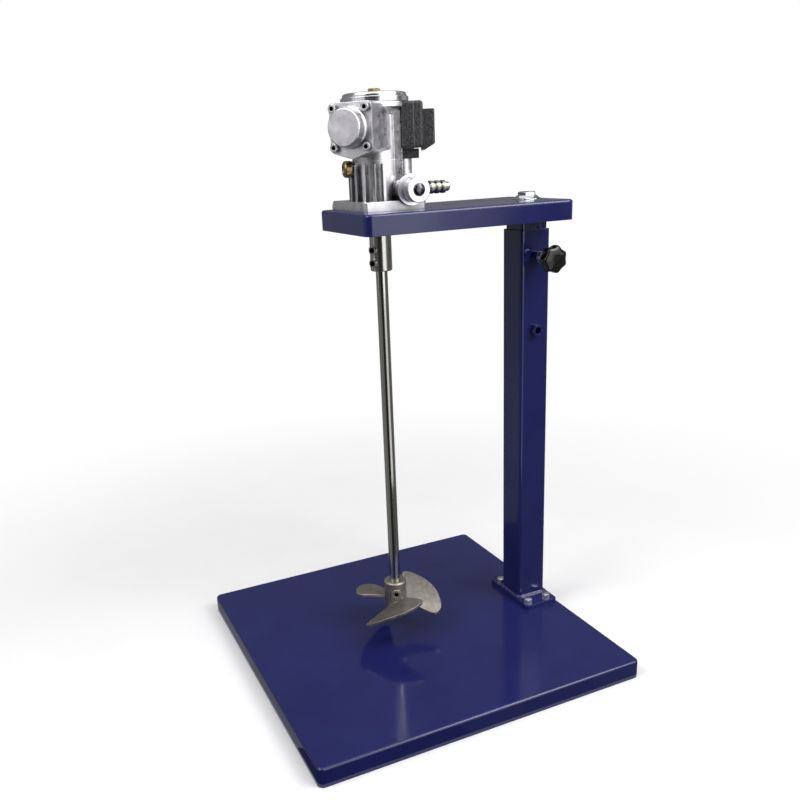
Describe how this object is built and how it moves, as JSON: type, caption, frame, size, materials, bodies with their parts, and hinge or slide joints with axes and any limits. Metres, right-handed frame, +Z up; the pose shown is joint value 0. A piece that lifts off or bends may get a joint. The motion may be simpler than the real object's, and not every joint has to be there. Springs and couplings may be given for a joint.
{
  "type": "pneumatic agitator",
  "caption": "Air-driven laboratory stirrer: a radial air motor on a telescopic stand with a flat base turns a long shaft with a twisted-blade impeller.",
  "frame": {"origin": "middle of the base tray, at the level of its rim, where it rests on the bench", "axes": "+Z up along the stirrer shaft and the post; +X from the shaft along the arm towards the post; -Y the side of the star knob and the throttle"},
  "size_m": [0.4, 0.4, 0.6573],
  "materials": {
    "blue_coat": "gloss",
    "black_coat": "matt, fine texture",
    "black_plastic": "gloss",
    "zinc_steel": "satin",
    "dark_steel": "satin",
    "ground_steel": "ground",
    "stainless": "polished",
    "cast_stainless": "satin, cast",
    "chrome": "mirror",
    "dark_chrome": "mirror",
    "cast_aluminium": "fine cast",
    "turned_aluminium": "turned",
    "cast_iron": "honed",
    "brass": "satin",
    "rubber": "matt",
    "foam": "open-cell foam",
    "gasket_board": "matt"
  },
  "bodies": {
    "stand": {"base_tray": "blue_coat", "foot_plate": "blue_coat", "foot_bolts": "zinc_steel", "foot_nuts": "zinc_steel", "outer_post": "blue_coat", "clamp_nut": "blue_coat", "spare_nut": "blue_coat"},
    "clamp": {"star_knob": "black_plastic", "knob_stud": "zinc_steel"},
    "head": {"inner_post": "blue_coat", "mast_plug": "zinc_steel", "arm_tray": "blue_coat", "cone_washer": "chrome", "arm_bolt": "chrome", "lower_housing": "cast_aluminium", "motor_bolts": "zinc_steel", "shaft_seal": "rubber", "lower_bearing": "ground_steel", "bearing_spacer": "turned_aluminium", "upper_bearing": "ground_steel", "sight_plug": "brass", "crankcase": "cast_aluminium", "head_gasket_front": "gasket_board", "head_gasket_rear": "gasket_board", "head_cover_front": "cast_aluminium", "head_cover_rear": "cast_aluminium", "head_screws_front": "dark_steel", "head_screws_rear": "dark_steel", "cylinder_liner_front": "cast_iron", "cylinder_liner_rear": "cast_iron", "cylinder_liner_side": "cast_iron", "piston_front": "turned_aluminium", "piston_rear": "turned_aluminium", "piston_side": "turned_aluminium", "gudgeon_pin_front": "ground_steel", "gudgeon_pin_rear": "ground_steel", "gudgeon_pin_side": "ground_steel", "connecting_rod_front": "ground_steel", "connecting_rod_rear": "ground_steel", "connecting_rod_side": "ground_steel", "port_plate": "ground_steel", "top_cap": "turned_aluminium", "oil_plug": "brass", "exhaust_block": "black_coat", "exhaust_cover": "black_coat", "silencer_foam": "foam", "throttle_bonnet": "turned_aluminium", "air_nipple": "chrome"},
    "rotor": {"crankshaft": "ground_steel", "crank_roller": "ground_steel", "rotary_valve": "ground_steel", "coupling": "stainless", "coupling_screws": "dark_steel", "stirrer_shaft": "stainless", "impeller": "cast_stainless", "impeller_screw": "dark_steel"},
    "throttle": {"throttle_knob": "turned_aluminium", "knob_button": "dark_chrome", "throttle_spindle": "brass"}
  },
  "joints": [
    {"name": "column_slide", "type": "slide", "parent": "stand", "child": "head", "axis": [0, 0, 1], "range_m": [-0.01, 0.2]},
    {"name": "clamp_turn", "type": "hinge", "parent": "stand", "child": "clamp", "pos_m": [0.173, -0.036, 0.471], "axis": [0, -1, 0], "range_deg": [0, 360]},
    {"name": "stirrer_spin", "type": "hinge", "parent": "head", "child": "rotor", "pos_m": [-0.0165, 0, 0.3], "axis": [0, 0, 1], "continuous": true},
    {"name": "throttle_turn", "type": "hinge", "parent": "head", "child": "throttle", "pos_m": [0.002, -0.05, 0.5565], "axis": [0, -1, 0], "range_deg": [0, 270]}
  ]
}
